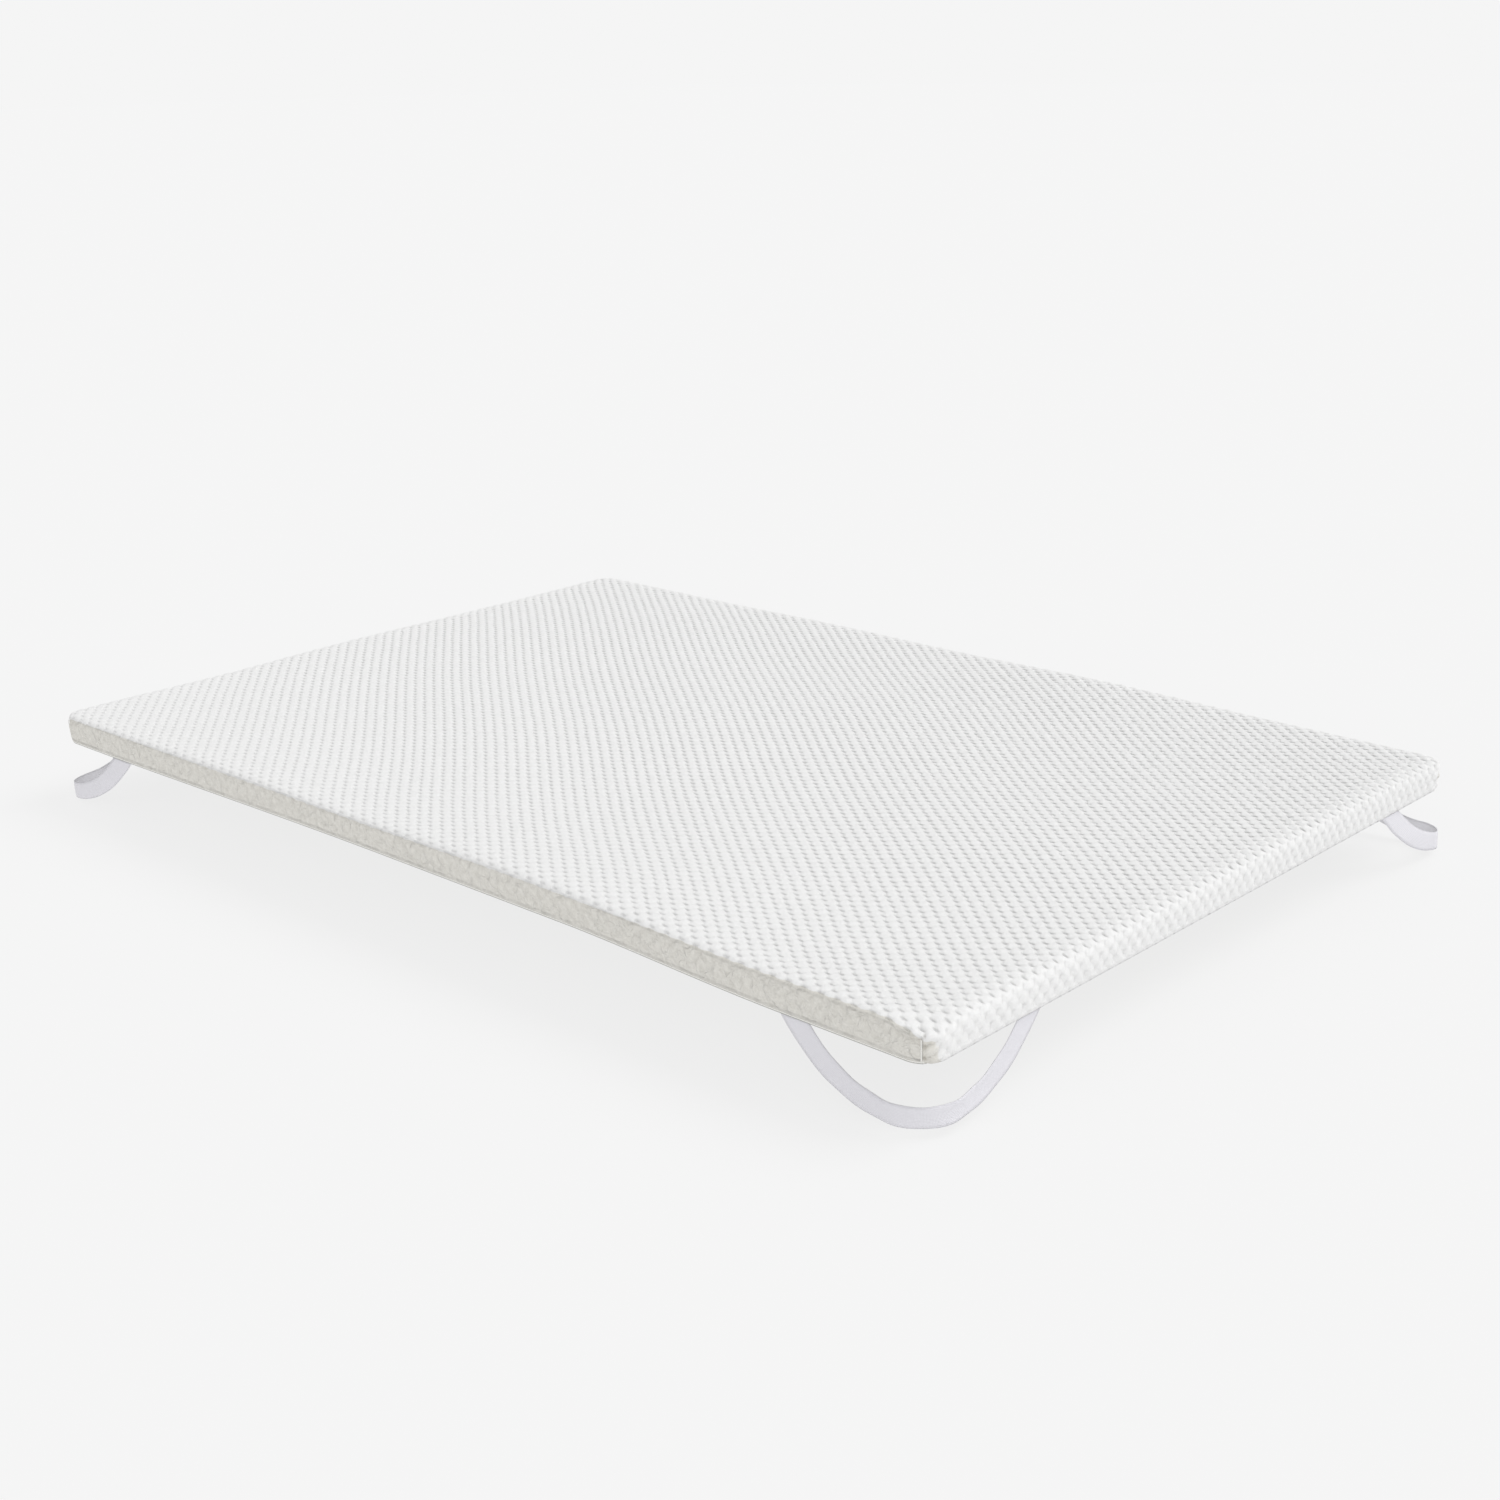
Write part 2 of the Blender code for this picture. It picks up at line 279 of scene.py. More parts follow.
def link(name, data):
    """A new object in the scene."""
    made = bpy.data.objects.new(name, data)
    bpy.context.scene.collection.objects.link(made)
    return made


def bake(made, tree, values):
    """Puts a geometry tree on an object with its named inputs and keeps the result as a plain mesh."""
    modifier = made.modifiers.new(tree.name, "NODES")
    modifier.node_group = tree
    for socket in tree.interface.items_tree:
        if socket.item_type == "SOCKET" and socket.in_out == "INPUT" and socket.name in values:
            modifier[socket.identifier] = values[socket.name]
    graph = bpy.context.evaluated_depsgraph_get()
    result = bpy.data.meshes.new_from_object(
        made.evaluated_get(graph), preserve_all_data_layers=True, depsgraph=graph
    )
    made.modifiers.clear()
    made.data = result
    result.name = made.name
    result.shade_smooth()
    return made


def face_outwards(mesh, face_down=False):
    """Turns all faces one way, out of a closed mesh, or down from a sheet."""
    bm = bmesh.new()
    bm.from_mesh(mesh)
    bmesh.ops.recalc_face_normals(bm, faces=bm.faces)
    if face_down and sum(face.normal.z for face in bm.faces) > 0:
        bmesh.ops.reverse_faces(bm, faces=bm.faces)
    bm.to_mesh(mesh)
    bm.free()


def lay_uv(mesh, name, places):
    """Lays a place on each corner of each face."""
    layer = mesh.uv_layers.new(name=name)
    layer.data.foreach_set("uv", places.astype(np.float32).ravel())


def grid_faces(m, n, start=0):
    """The faces of a grid of m by n points, the first of which has the number given."""
    index = np.arange(m * n).reshape(m, n) + start
    return np.stack([index[:-1, :-1], index[1:, :-1], index[1:, 1:], index[:-1, 1:]], -1).reshape(-1, 4)


def cloth_sheet(name, mesh, finish, thickness, offset, sharp):
    """A sheet of cloth with its thickness, shaded soft but for edges over an angle in degrees."""
    mesh.materials.append(finish)
    mesh.shade_smooth()
    mesh.set_sharp_from_angle(angle=math.radians(sharp))
    made = link(name, mesh)
    thick = made.modifiers.new("cloth", "SOLIDIFY")
    thick.thickness = thickness
    thick.offset = offset
    return made


# ---- The slab's shape ----

def smooth(t):
    """0 up to t = 0, 1 from t = 1, with soft ends."""
    t = np.clip(t, 0.0, 1.0)
    return t * t * (3.0 - 2.0 * t)


def ramp(value, start, length):
    """0 up to the start, 1 from a length beyond it, with soft ends."""
    return smooth((value - start) / length)


def foot_rise(x, y):
    """How far the underside has curled up from its flat middle."""
    along = ramp(y + LENGTH / 2, CURL_START, CURL_IN) * smooth((LENGTH / 2 - y) / CURL_OUT)
    near = 1.0 - smooth((x + WIDTH / 2) / FLAT_INSET)
    far = 1.0 - smooth((WIDTH / 2 - x) / FLAT_INSET)
    return along * (NEAR_CURL * near + FAR_CURL * far)


def top_height(x, y):
    """The top's height over the flat underside, before the puffs."""
    crown = CROWN * np.clip(1 - (2 * x / WIDTH) ** 2, 0, 1) * np.clip(1 - (2 * y / LENGTH) ** 2, 0, 1)
    waves = sum(
        wave["height"] * np.sin(2 * np.pi * (x / wave["across"] + y / wave["along"] + wave["start"]))
        for wave in WAVES
    )
    from_corner = np.hypot(WIDTH / 2 - np.abs(x), LENGTH / 2 - np.abs(y))
    dip = CORNER_DIP * smooth((DIP_REACH - from_corner) / DIP_SLOPE) * ((x < 0) & (y < 0))
    return THICKNESS + crown + waves + foot_rise(x, y) - dip


def on_short_side(y):
    """0 along the long sides and round to the corner seam, 1 along the short sides."""
    return ramp(np.abs(y) - HALF_Y, *SHORT_SIDES)


def side_heights(x, y, share):
    """The height of a place on a side, at a share of the way up from the foot."""
    foot = foot_rise(x, y) + COVER_FOOT + (FOOT_LOW - COVER_FOOT) * on_short_side(y)
    return foot + share * (top_height(x, y) - foot)


def side_profile():
    """The side in equal steps of cloth: outwards, height share, and cloth length from the top."""
    points = np.array([(out, share * (THICKNESS - COVER_FOOT)) for out, share in SIDE])
    ends = np.vstack([2 * points[0] - points[1], points, 2 * points[-1] - points[-2]])
    t = np.linspace(0, 1, CURVE_STEPS, endpoint=False)[:, None]
    pieces = []
    for a, b, c, d in zip(ends, ends[1:], ends[2:], ends[3:]):
        pieces.append(0.5 * (2 * b + (c - a) * t + (2 * a - 5 * b + 4 * c - d) * t ** 2
                             + (3 * b - a - 3 * c + d) * t ** 3))
    line = np.vstack(pieces + [points[-1:]])
    length = np.concatenate([[0], np.cumsum(np.hypot(*np.diff(line, axis=0).T))])
    even = np.linspace(0, length[-1], SIDE_ROWS + 1)
    out = np.interp(even, length, line[:, 0])
    share = np.interp(even, length, line[:, 1]) / (THICKNESS - COVER_FOOT)
    return out, np.clip(share, 0, 1), even


def row_shift(u, v):
    """How far a place on the top is shifted because the rows of puffs aren't quite straight."""
    angle = [2 * np.pi * (u / w["across"] + v / w["along"] + w["start"]) for w in ROW_WAVES]
    across = sum(w["reach"] * np.sin(a) for w, a in zip(ROW_WAVES, angle))
    along = sum(w["reach"] * np.cos(a * ROW_SLOWER + ROW_LATER) for w, a in zip(ROW_WAVES, angle))
    return (across * smooth((HALF_X - np.abs(u)) / ROW_STRAIGHTENS),
            along * smooth((HALF_Y - np.abs(v)) / ROW_STRAIGHTENS))


def outline(inset, radius, on_knit):
    """Points round the slab at a place inwards from the rim, on the knit's rows or in plain steps."""
    steps_x, steps_y, corner_steps = KNIT_STEPS if on_knit else PANEL_STEPS
    half_x, half_y = WIDTH / 2 - inset - radius, LENGTH / 2 - inset - radius
    u = np.linspace(-HALF_X, HALF_X, steps_x + 1)
    v = np.linspace(-HALF_Y, HALF_Y, steps_y + 1)
    x_low, x_high = ((u + on_knit * row_shift(u, s * HALF_Y)[0]) * half_x / HALF_X for s in (-1, 1))
    y_low, y_high = ((v + on_knit * row_shift(s * HALF_X, v)[1]) * half_y / HALF_Y for s in (-1, 1))
    angle = np.pi / 2 * np.arange(corner_steps + 1) / corner_steps
    cos, sin = radius * np.cos(angle), radius * np.sin(angle)
    runs = [
        (half_x + cos, half_y + sin), (x_high[::-1], half_y + radius + 0 * u),
        (-half_x - cos[::-1], half_y + sin[::-1]), (-half_x - radius + 0 * v, y_low[::-1]),
        (-half_x - cos, -half_y - sin), (x_low, -half_y - radius + 0 * u),
        (half_x + cos[::-1], -half_y - sin[::-1]), (half_x + radius + 0 * v, y_high),
    ]
    return [np.concatenate([run[axis][:-1] for run in runs]) for axis in (0, 1)]


# ---- Puffs: the same pattern shapes the cover's mesh and its fine bump ----

def puff_pattern(tree, lattice):
    """Dome (1 on a puff, 0 at a slit), petal and metres across and along from the nearest slit.

    A petal is 0 along the creases that run from slit to slit. The position is in cells, and sways a
    little, as a knit does that has been washed and handled.
    """
    sway = add(tree, NOISE, {"Vector": lattice, "W": float(KNIT_SEED), "Scale": 0.9, "Detail": 1.0},
               noise_dimensions="4D")
    sway = add(tree, VECTOR, [sway.outputs["Color"], (0.5, 0.5, 0.5)], "SUBTRACT")
    place = add(tree, VECTOR, [sway, SWAY, lattice], "MULTIPLY_ADD")
    split = add(tree, SPLIT, [place])
    waves = []
    for axis in (0, 1):
        turn = add(tree, MATH, [split.outputs[axis], 2 * math.pi], "MULTIPLY")
        waves.append(add(tree, MATH, [turn], "COSINE"))
    dome = add(tree, MATH, waves, "MULTIPLY")
    dome = add(tree, MATH, [dome, 0.5, 0.5], "MULTIPLY_ADD")
    offsets, rises = [], []
    for operation in ("ADD", "SUBTRACT"):
        diagonal = add(tree, MATH, [split.outputs[0], split.outputs[1]], operation)
        part = add(tree, MATH, [diagonal], "FRACT")
        offsets.append(add(tree, MATH, [part, 0.5], "SUBTRACT"))
        turn = add(tree, MATH, [offsets[-1], math.pi], "MULTIPLY")
        wave = add(tree, MATH, [turn], "SINE")
        rises.append(add(tree, MATH, [wave], "ABSOLUTE"))
    petal = add(tree, MATH, rises, "MULTIPLY")
    petal = add(tree, MATH, [petal, 0.75], "POWER")
    distances = []
    for operation, half_cell in (("ADD", CELL_X / 2), ("SUBTRACT", CELL_Y / 2)):
        distance = add(tree, MATH, offsets, operation)
        distances.append(add(tree, MATH, [distance, half_cell], "MULTIPLY"))
    return dome, petal, *distances


def slit_depth(tree, across, along, wide, long):
    """1 in each slit, falling off softly at its half width and crisply at its half length in metres."""
    across = add(tree, MATH, [along, -SLIT_LEAN, across], "MULTIPLY_ADD")
    falls = []
    for distance, reach, power in ((across, wide, 2.0), (along, long, 4.0)):
        scaled = add(tree, MATH, [distance, reach], "DIVIDE")
        scaled = add(tree, MATH, [scaled], "ABSOLUTE")
        falls.append(add(tree, MATH, [scaled, power], "POWER"))
    fall = add(tree, MATH, falls, "ADD")
    fall = add(tree, MATH, [fall, -1.0], "MULTIPLY")
    return add(tree, MATH, [fall], "EXPONENT")


def puff_tree(finish):
    """Raises the puffs, sinks the slits between them and lays the loose cloth's creases."""
    tree, given = new_tree("puffed_knit", PUFFS)
    lattice = add(tree, NAMED, {"Name": "lattice"}, data_type="FLOAT_VECTOR")
    lift, gather, loose = (add(tree, NAMED, {"Name": name}) for name in ("lift", "gather", "loose"))
    dome, _, across, along = puff_pattern(tree, lattice)
    slit = slit_depth(tree, across, along, given.outputs["Slit half width"],
                      given.outputs["Slit half length"])
    # each puff is a little higher or flatter than its neighbours, and each slit deeper or shallower
    chance = add(tree, NOISE, {"Vector": lattice, "W": given.outputs["Seed"], "Scale": 1.7, "Detail": 0.0},
                 noise_dimensions="4D")
    chance = add(tree, SPLIT, [chance.outputs["Color"]])
    parts = []
    for shape, size, axis in ((dome, "Puff height", 0), (slit, "Slit depth", 1)):
        part = add(tree, MATH, [chance.outputs[axis], 0.5], "SUBTRACT")
        part = add(tree, MATH, [part, given.outputs["Unevenness"], 0.5], "MULTIPLY_ADD")
        for factor in (given.outputs[size], 2.0, shape):
            part = add(tree, MATH, [part, factor], "MULTIPLY")
        parts.append(part)
    relief = add(tree, MATH, parts, "SUBTRACT")
    relief = add(tree, MATH, [given.outputs["Puff height"], -0.5, relief], "MULTIPLY_ADD")
    relief = add(tree, MATH, [relief, lift, gather], "MULTIPLY_ADD")
    place = add(tree, "GeometryNodeInputPosition")
    creases = add(tree, NOISE, {"Vector": place, "Scale": 34.0, "Detail": 2.0, "Roughness": 0.6,
                                "Distortion": 0.6})
    creases = add(tree, MATH, [creases, 0.5], "SUBTRACT")
    creases = add(tree, MATH, [creases, given.outputs["Crumple"]], "MULTIPLY")
    relief = add(tree, MATH, [creases, loose, relief], "MULTIPLY_ADD")
    normal = add(tree, "GeometryNodeInputNormal")
    offset = add(tree, VECTOR, {0: normal, "Scale": relief}, "SCALE")
    moved = add(tree, "GeometryNodeSetPosition", {"Geometry": given, "Offset": offset})
    return end_tree(tree, moved, finish)


# ---- Knit cover ----

def patch(x, y, z, cell_x, cell_y, lift=0.0, tied=0.0, gather=0.0, loose=0.0, cream=0.0):
    """A grid of points, each with its place in the knit and what the knit does there."""
    parts = np.broadcast_arrays(x, y, z, cell_x, cell_y, lift, tied, gather, loose, cream)
    return np.stack([np.asarray(part, float) for part in parts], -1)


def side_patch(x, y, share, cell_x, cell_y, relief, gather):
    """A grid of points on a side, with what its knit does and how far it is gathered."""
    lift, tied, loose, cream = relief
    return patch(x, y, side_heights(x, y, share), cell_x, cell_y, lift * puffs_stand(x, y), tied,
                 gather, loose, cream)


def weld(patches):
    """The patches as one mesh: all rows, the first row of each point, faces, and the row of each corner."""
    rows = np.concatenate([grid.reshape(-1, grid.shape[2]) for grid in patches])
    quads, start = [], 0
    for grid in patches:
        quads.append(grid_faces(*grid.shape[:2], start))
        start += grid.shape[0] * grid.shape[1]
    keys = np.round(rows[:, :3] * 1e6).astype(np.int64)  # points within a micrometre are one
    _, first, same = np.unique(keys, axis=0, return_index=True, return_inverse=True)
    same = same.reshape(-1)
    faces, corners = [], []
    for quad in np.concatenate(quads).tolist():
        face, own = [], []
        for corner in quad:
            if same[corner] not in face:
                face.append(int(same[corner]))
                own.append(corner)
        if len(face) > 2:
            faces.append(face)
            corners += own
    return rows, first, faces, np.array(corners)


def puffs_stand(x, y):
    """How high the puffs stand at a place, as a share of their own height."""
    return PUFFS_STAND + MORE_ACROSS * 2 * x / WIDTH - LESS_ALONG * 2 * y / LENGTH


def drawn_in(i, j):
    """How far a step of the knit's grid moves towards the slit beside it, across and along."""
    beside_x = (i % 2 == 1) & (j % 2 == 0)
    beside_y = (i % 2 == 0) & (j % 2 == 1)
    toward = np.where((i + j + 1) % 4 == 2, 1.0, -1.0)
    across = beside_x * toward * (CELL_X / STEPS - DRAWN_WIDE)
    along = beside_y * toward * (CELL_Y / STEPS - DRAWN_LONG)
    return across - beside_y * toward * SLIT_LEAN * DRAWN_LONG, along


def inner_top():
    """The top inside its rounded rim, on the knit's own grid."""
    i = np.arange(CELLS_X * STEPS + 1)[:, None]
    j = np.arange(CELLS_Y * STEPS + 1)[None, :]
    across, along = drawn_in(i, j)
    u = -HALF_X + i * CELL_X / STEPS + across * ((i > 0) & (i < CELLS_X * STEPS))
    v = -HALF_Y + j * CELL_Y / STEPS + along * ((j > 0) & (j < CELLS_Y * STEPS))
    shift_x, shift_y = row_shift(u, v)
    x, y = u + shift_x, v + shift_y
    return patch(x, y, top_height(x, y), (u + HALF_X) / CELL_X, (v + HALF_Y) / CELL_Y, puffs_stand(x, y), 1.0)


def border_steps(long_side, sign):
    """Places along one side of the top, as the top's own grid has them, fading to even steps."""
    count, cell, half = (CELLS_Y, CELL_Y, HALF_Y) if long_side else (CELLS_X, CELL_X, HALF_X)
    edge = 0 if sign < 0 else (CELLS_X if long_side else CELLS_Y) * STEPS
    k = np.arange(count * STEPS + 1)
    moved = drawn_in(edge, k)[1] if long_side else drawn_in(k, edge)[0]
    moved = moved * ((k > 0) & (k < count * STEPS))
    fade = np.clip(1 - np.arange(SIDE_ROWS + 1) / ROWS_DRAWN_IN, 0, 1)[:, None]
    return -half + k * cell / STEPS + moved * fade


def relief_on_side(cloth, share, side, cream_start):
    """How high the puffs stand, how tied and loose the cloth is, and how much cream painted shade it takes,
    from top to foot.
    """
    over = ramp(cloth, *RELIEF_CHANGES)
    foot = ramp(share, FOOT_PLAIN, FOOT_FADE)
    lift = (1.0 + (side["stands"] - 1.0) * over) * foot
    tied = (1.0 - side["lost"] * ramp(cloth, SLITS_END, side["lost over"])) * foot
    cream = np.clip((cloth - cream_start) / CREAM_SOFT, 0, 1) * side["cream"]
    return lift, tied, over * foot * side["loose"], cream


def pleats(apart, share, upright):
    """How far the gathered cloth beside a corner seam stands out, at a distance from the seam."""
    off_foot = smooth(share / FOOT_FADE)
    groove = -GROOVE["depth"] * np.exp(-((apart - GROOVE["apart"]) / GROOVE["width"]) ** 2) * off_foot
    turn = 2 * np.pi * (PLEATS["up"] * share - apart / PLEATS["pitch"] + PLEATS["start"])
    folds = 2 * np.abs(np.cos(turn / 2)) ** PLEATS["full"] - PLEATS["sunk"]  # tight creases between
    fold = PLEATS["height"] * folds * smooth(apart / PLEATS["begin"]) * (1 - ramp(apart, *PLEATS["fade"]))
    return (groove + fold * off_foot) * upright


def drawn_tuck(apart, share, upright):
    """How far the long side is drawn in under the rim beside a corner seam."""
    tuck = -TUCK["depth"] * np.exp(-((share - TUCK["share"]) / TUCK["width"]) ** 2)
    return tuck * (1 - smooth(apart / TUCK["reach"])) * upright


def straight_sides(out, share, cloth):
    """The four straight sides; each keeps the rows of puffs that it shares with the top."""
    upright = ramp(cloth, *UPRIGHT)
    sides = []
    for sign in (-1, 1):
        v = border_steps(True, sign)
        y = v + row_shift(sign * HALF_X, v)[1]
        x = sign * (WIDTH / 2 + out) + 0 * y
        cell_x = (0.0 if sign < 0 else CELLS_X) + sign * cloth / CELL_X
        relief = relief_on_side(cloth, share, LONG_SIDE, np.interp(v, CREAM_ALONG, CREAM_START))
        gather = drawn_tuck(SEAM_STEP * CORNER_STEP + HALF_Y - np.abs(v), share, upright)
        sides.append(side_patch(x, y, share, cell_x, (v + HALF_Y) / CELL_Y, relief, gather))
    for sign in (-1, 1):
        u = border_steps(False, sign)
        x = u + row_shift(u, sign * HALF_Y)[0]
        y = sign * (LENGTH / 2 + out) + 0 * x
        cell_y = (0.0 if sign < 0 else CELLS_Y) + sign * cloth / CELL_Y
        relief = relief_on_side(cloth, share, SHORT_SIDE, 0.0)
        gather = pleats(SEAM_TO_SIDE + HALF_X - np.abs(u), share, upright)
        sides.append(side_patch(x, y, share, (u + HALF_X) / CELL_X, cell_y, relief, gather))
    return sides


def gathered_cream(cloth, share, apart):
    """How much cream painted shade the short side takes beside a corner seam."""
    cream = GATHERED_CREAM
    reach = cream["reach"] + cream["wider"] * (1 - share) + cream["sway"] * np.sin(cream["turns"] * share)
    strength = cream["share"] + cream["share"] * (1 - smooth((apart - reach) / CREAM_SOFT))
    return ramp(cloth - cream["start"], CORNER_WHITE, cream["over"]) * strength


def round_corners(out, share, cloth):
    """The rounded corners. The knit runs on from each side and ends at the corner seam."""
    upright = ramp(cloth, *UPRIGHT)
    flat = np.minimum(cloth, CORNER_RADIUS)
    down = cloth - flat
    pieces = []
    for sign_x, sign_y in CORNERS:
        for long_side in (True, False):
            steps = np.arange(0, SEAM_STEP + 1) if long_side else np.arange(SEAM_STEP, CORNER_STEPS + 1)
            angle = np.pi / 2 * steps / CORNER_STEPS
            x = sign_x * (HALF_X + (CORNER_RADIUS + out) * np.cos(angle))
            y = sign_y * (HALF_Y + (CORNER_RADIUS + out) * np.sin(angle))
            along_x = flat * np.cos(angle) + (down if long_side else 0)
            along_y = flat * np.sin(angle) + (0 if long_side else down)
            cell_x = (0.0 if sign_x < 0 else CELLS_X) + sign_x * along_x / CELL_X
            cell_y = (0.0 if sign_y < 0 else CELLS_Y) + sign_y * along_y / CELL_Y
            apart = np.abs(steps - SEAM_STEP) * CORNER_STEP
            white = CORNER_WHITE * (1 - smooth(apart / CORNER_WHITE_REACH))
            start = CREAM_START[0 if sign_y < 0 else -1] + white
            side = LONG_SIDE if long_side else SHORT_SIDE
            lift, tied, loose, cream = relief_on_side(cloth, share, side, start)
            if not long_side:
                cream = gathered_cream(cloth, share, apart)
            plain = 1 - upright * (1 - smooth(apart / SEAM_FLAT))
            gather = (drawn_tuck if long_side else pleats)(apart, share, upright)
            relief = (lift * plain, tied * plain, loose, cream)
            pieces.append(side_patch(x, y, share, cell_x, cell_y, relief, gather))
    return pieces


def underside():
    """The cover's plain underside: rings from the foot in to the flat middle, and the middle itself."""
    foot_in = -SIDE[-1][0]
    rings = []
    for inset, radius in ((foot_in, CORNER_RADIUS - foot_in), COVER_RING, *INNER_RINGS):
        x, y = outline(inset, radius, True)
        z = foot_rise(x, y) + COVER_FOOT if rings else side_heights(x, y, 0.0)
        rings.append([np.append(line, line[0]) for line in (x, y, z)])
    middle = np.zeros_like(rings[-1])
    middle[2] = COVER_FOOT
    grids = (np.array(rings), np.array([rings[-1], middle]))
    return [patch(*grid.transpose(1, 0, 2), grid[:, 0] / CELL_X, grid[:, 1] / CELL_Y) for grid in grids]


def lay_even_normals(mesh):
    """Normals weighted by face area, so that a small slit leaves the puffs beside it evenly lit."""
    vertex = np.empty(len(mesh.loops), np.int32)
    mesh.loops.foreach_get("vertex_index", vertex)
    total = np.empty(len(mesh.polygons), np.int32)
    area = np.empty(len(mesh.polygons))
    normal = np.empty(3 * len(mesh.polygons))
    mesh.polygons.foreach_get("loop_total", total)
    mesh.polygons.foreach_get("area", area)
    mesh.polygons.foreach_get("normal", normal)
    weighted = np.repeat(normal.reshape(-1, 3) * area[:, None], total, axis=0)
    summed = np.stack([np.bincount(vertex, weighted[:, axis]) for axis in range(3)], 1)
    summed /= np.linalg.norm(summed, axis=1)[:, None]
    mesh.normals_split_custom_set_from_vertices(summed.tolist())


def knit_cover(finish):
    """The filled cover: puffed top and sides on the knit's own grid, closed by a plain underside."""
    side = [part[:, None] for part in side_profile()]
    rows, first, faces, corners = weld(
        [inner_top(), *straight_sides(*side), *round_corners(*side), *underside()]
    )
    mesh = bpy.data.meshes.new("knit_cover")
    mesh.from_pydata(rows[first, :3].tolist(), [], faces)
    lay_uv(mesh, "lattice", rows[corners, 3:5])
    for column, name in enumerate(KNIT_VALUES, 5):
        layer = mesh.attributes.new(name, "FLOAT", "POINT")
        layer.data.foreach_set("value", rows[first, column].astype(np.float32))
    face_outwards(mesh)
    mesh.shade_smooth()
    made = bake(link("puffed_knit_cover", mesh), puff_tree(finish), PUFFS)
    lay_even_normals(made.data)
    return made


# ---- Stitched seams ----

def stitched_seam_tree(sizes, finish):
    """Arched stitches set across a path, one pitch apart, over a thin core that runs along it."""
    tree, given = new_tree("stitched_seam", sizes)
    path = add(tree, "GeometryNodeMeshToCurve", [given])
    # one stitch is a short arch from one side of the seam over to the other
    back = add(tree, MATH, [given.outputs["Half span"], -1.0], "MULTIPLY")
    top = add(tree, MATH, [given.outputs["Rise"], 2.0], "MULTIPLY")
    start, middle, end = (
        add(tree, COMBINE, place) for place in ({1: back}, {2: top}, {1: given.outputs["Half span"]})
    )
    arch = add(tree, "GeometryNodeCurveQuadraticBezier",
               {"Resolution": 3, "Start": start, "Middle": middle, "End": end})
    tubes = []
    for line, size, sides in ((path, "Core radius", 6), (arch, "Thread radius", 5)):
        ring = add(tree, "GeometryNodeCurvePrimitiveCircle",
                   {"Resolution": sides, "Radius": given.outputs[size]})
        tubes.append(add(tree, "GeometryNodeCurveToMesh",
                         {"Curve": line, "Profile Curve": ring, "Fill Caps": True}))
    core, stitch = tubes
    # it stands on the cloth, across the path, and leans a little more or less each time
    outward = add(tree, NAMED, {"Name": "outward"}, data_type="FLOAT_VECTOR")
    tangent = add(tree, "GeometryNodeInputTangent")
    upright = add(tree, ALIGN, {"Vector": outward}, axis="Z")
    across = add(tree, ALIGN, {"Rotation": upright, "Vector": tangent}, axis="X", pivot_axis="Z")
    chance = add(tree, "FunctionNodeRandomValue", {2: 0.6, 3: 1.4, "Seed": given.outputs["Seed"]})
    lean = add(tree, MATH, [chance.outputs[1], given.outputs["Lean"]], "MULTIPLY")
    turn = add(tree, COMBINE, {2: lean})
    leaned = add(tree, "FunctionNodeRotateRotation", {"Rotation": across, "Rotate By": turn},
                 rotation_space="LOCAL")
    places = add(tree, "GeometryNodeResampleCurve", {"Curve": path, "Length": given.outputs["Pitch"]},
                 mode="LENGTH")
    row = add(tree, "GeometryNodeInstanceOnPoints",
              {"Points": places, "Instance": stitch, "Rotation": leaned})
    both = add(tree, "GeometryNodeJoinGeometry", [core])
    tree.links.new(row.outputs[0], both.inputs[0])
    return end_tree(tree, both, finish)


def stitched(name, lines, closed, sizes, finish):
    """Sews along lines of points; each line comes with the directions in which its stitches stand."""
    edges, start = [], 0
    for points, _ in lines:
        count = len(points)
        edges += [(start + i, start + (i + 1) % count) for i in range(count if closed else count - 1)]
        start += count
    mesh = bpy.data.meshes.new(name)
    mesh.from_pydata(np.concatenate([points for points, _ in lines]).tolist(), edges, [])
    layer = mesh.attributes.new("outward", "FLOAT_VECTOR", "POINT")
    outward = np.concatenate([directions for _, directions in lines])
    layer.data.foreach_set("vector", outward.astype(np.float32).ravel())
    return bake(link(name, mesh), stitched_seam_tree(sizes, finish), sizes)


def foot_edging(finish):
    """The edging that closes the foot of the sides over the panel's lip, sewn all the way round."""
    x, y = outline(-EDGING_OUT, CORNER_RADIUS + EDGING_OUT, True)
    points = np.stack([x, y, foot_rise(x, y) + EDGING_HEIGHT], 1)
    ahead = np.roll(points, -1, 0) - np.roll(points, 1, 0)
    outward = np.cross(ahead, (0.0, 0.0, 1.0))
    outward /= np.linalg.norm(outward, axis=1)[:, None]
    tucked = on_short_side(y)[:, None]
    points -= tucked * (RIM_IN - EDGING_OVER_RIM) * outward + tucked * [0.0, 0.0, EDGING_DOWN]
    return stitched("overlocked_edging", [(points, outward)], True, EDGING, finish)


def corner_seams(finish):
    """The stitching of the upright seam at each corner, where the cover was cut and drawn in."""
    out, share, cloth = side_profile()
    angle = math.pi / 2 * SEAM_STEP / CORNER_STEPS
    sewn = (share > CORNER_SEAM_FROM) & (share < CORNER_SEAM_TO) & (cloth > UPRIGHT[0])
    radius = CORNER_RADIUS + out[sewn] + CORNER_SEAM_OUT
    lines = []
    for sign_x, sign_y in CORNERS:
        x = sign_x * (HALF_X + radius * math.cos(angle))
        y = sign_y * (HALF_Y + radius * math.sin(angle))
        points = np.stack([x, y, side_heights(x, y, share[sewn])], 1)
        outward = (sign_x * math.cos(angle), sign_y * math.sin(angle), 0.0)
        lines.append((points, [outward] * len(points)))
    return stitched("corner_seam_stitching", lines, False, CORNER_SEAM, finish)


# ---- Base panel and elastic loops ----

